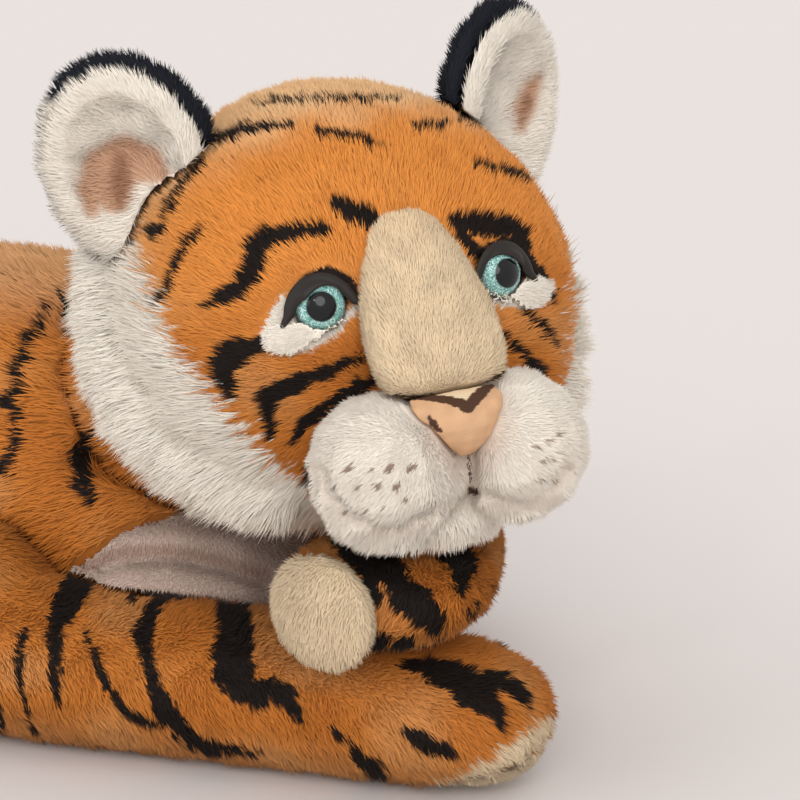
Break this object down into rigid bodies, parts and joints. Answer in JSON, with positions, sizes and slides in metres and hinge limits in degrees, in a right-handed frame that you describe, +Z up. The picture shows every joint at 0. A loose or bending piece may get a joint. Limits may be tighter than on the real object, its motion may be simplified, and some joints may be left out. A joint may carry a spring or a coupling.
{
  "type": "plush tiger",
  "caption": "Soft stuffed tiger lying on its belly with its head turned and its chin on a bent forepaw; head, ears, legs and tail bend at their sewn roots.",
  "frame": {"origin": "on the flat belly panel, on the surface that the toy lies on, a little behind its shoulders", "axes": "+X the way the body points, +Y the tiger's left, +Z up"},
  "size_m": [0.7396, 0.3453, 0.2959],
  "materials": {
    "orange_fur": "short plush pile",
    "white_fur": "plush pile",
    "cream_fur": "short plush pile",
    "pale_fur": "short plush pile",
    "dark_fur": "plush pile",
    "nose_cloth": "smooth suede cloth",
    "eye_plastic": "polished, glitter iris",
    "lid_plastic": "satin",
    "washer_plastic": "moulded",
    "bag_linen": "plain weave"
  },
  "bodies": {
    "body": {"torso": "orange_fur", "belly_panel": "white_fur", "pellet_bag": "bag_linen", "chest_roll": "pale_fur"},
    "neck": {"neck": "orange_fur"},
    "head": {"head": "orange_fur", "nose_bridge": "cream_fur", "nose": "nose_cloth", "muzzle": "white_fur", "chin": "white_fur", "cheek_ruff_right": "white_fur", "cheek_ruff_left": "white_fur", "eye_right": "eye_plastic", "eye_left": "eye_plastic", "eye_washer_right": "washer_plastic", "eye_washer_left": "washer_plastic", "eyelid_right": "lid_plastic", "eyelid_left": "lid_plastic", "eye_patch_right": "white_fur", "eye_patch_left": "white_fur"},
    "ear_right": {"ear_back_right": "dark_fur", "ear_front_right": "white_fur"},
    "ear_left": {"ear_back_left": "dark_fur", "ear_front_left": "white_fur"},
    "foreleg_right": {"foreleg_right": "orange_fur", "forepaw_right": "orange_fur", "forepaw_sole_right": "cream_fur"},
    "foreleg_left": {"foreleg_left": "orange_fur"},
    "forearm_left": {"forearm_left": "orange_fur", "forepaw_left": "orange_fur", "forepaw_pad_left": "cream_fur"},
    "hind_leg_right": {"thigh_right": "orange_fur", "hind_leg_right": "orange_fur", "hind_sole_right": "cream_fur"},
    "hind_leg_left": {"thigh_left": "orange_fur", "hind_leg_left": "orange_fur", "hind_sole_left": "cream_fur"},
    "tail": {"tail": "orange_fur", "tail_tip": "dark_fur"}
  },
  "joints": [
    {"name": "neck_turn", "type": "hinge", "parent": "body", "child": "neck", "pos_m": [0.12814, -0.01805, 0.138], "axis": [0, 0, 1], "range_deg": [-11, 11], "stiffness_Nm_per_rad": 0.6},
    {"name": "head_nod", "type": "hinge", "parent": "neck", "child": "head", "pos_m": [0.12814, -0.01805, 0.138], "axis": [-0.6157, -0.788, 0], "range_deg": [0, 10], "stiffness_Nm_per_rad": 0.6},
    {"name": "ear_fold_right", "type": "hinge", "parent": "head", "child": "ear_right", "pos_m": [0.15781, -0.09986, 0.22123], "axis": [0.9011, 0.3412, 0.2676], "range_deg": [-12, 12], "stiffness_Nm_per_rad": 0.1},
    {"name": "ear_fold_left", "type": "hinge", "parent": "head", "child": "ear_left", "pos_m": [0.24566, 0.01259, 0.23622], "axis": [0.1363, 0.9865, -0.0905], "range_deg": [-12, 12], "stiffness_Nm_per_rad": 0.1},
    {"name": "shoulder_right", "type": "hinge", "parent": "body", "child": "foreleg_right", "pos_m": [0.0602, -0.10507, 0.0445], "axis": [0, 0, -1], "range_deg": [0, 18], "stiffness_Nm_per_rad": 0.2},
    {"name": "shoulder_left", "type": "hinge", "parent": "body", "child": "foreleg_left", "pos_m": [0.0602, 0.10507, 0.0445], "axis": [0, 0, 1], "range_deg": [0, 12], "stiffness_Nm_per_rad": 0.2},
    {"name": "elbow_left", "type": "hinge", "parent": "foreleg_left", "child": "forearm_left", "pos_m": [0.1538, 0.09362, 0.0395], "axis": [0, 0, 1], "range_deg": [0, 12], "stiffness_Nm_per_rad": 0.2},
    {"name": "hip_right", "type": "hinge", "parent": "body", "child": "hind_leg_right", "pos_m": [-0.1849, -0.07999, 0.0595], "axis": [0, 0, -1], "range_deg": [0, 16], "stiffness_Nm_per_rad": 0.2},
    {"name": "hip_left", "type": "hinge", "parent": "body", "child": "hind_leg_left", "pos_m": [-0.1849, 0.07999, 0.0595], "axis": [0, 0, 1], "range_deg": [0, 16], "stiffness_Nm_per_rad": 0.2},
    {"name": "tail_swing", "type": "hinge", "parent": "body", "child": "tail", "pos_m": [-0.2752, 0, 0.07728], "axis": [0, 0, 1], "range_deg": [-16, 16], "stiffness_Nm_per_rad": 0.1}
  ]
}
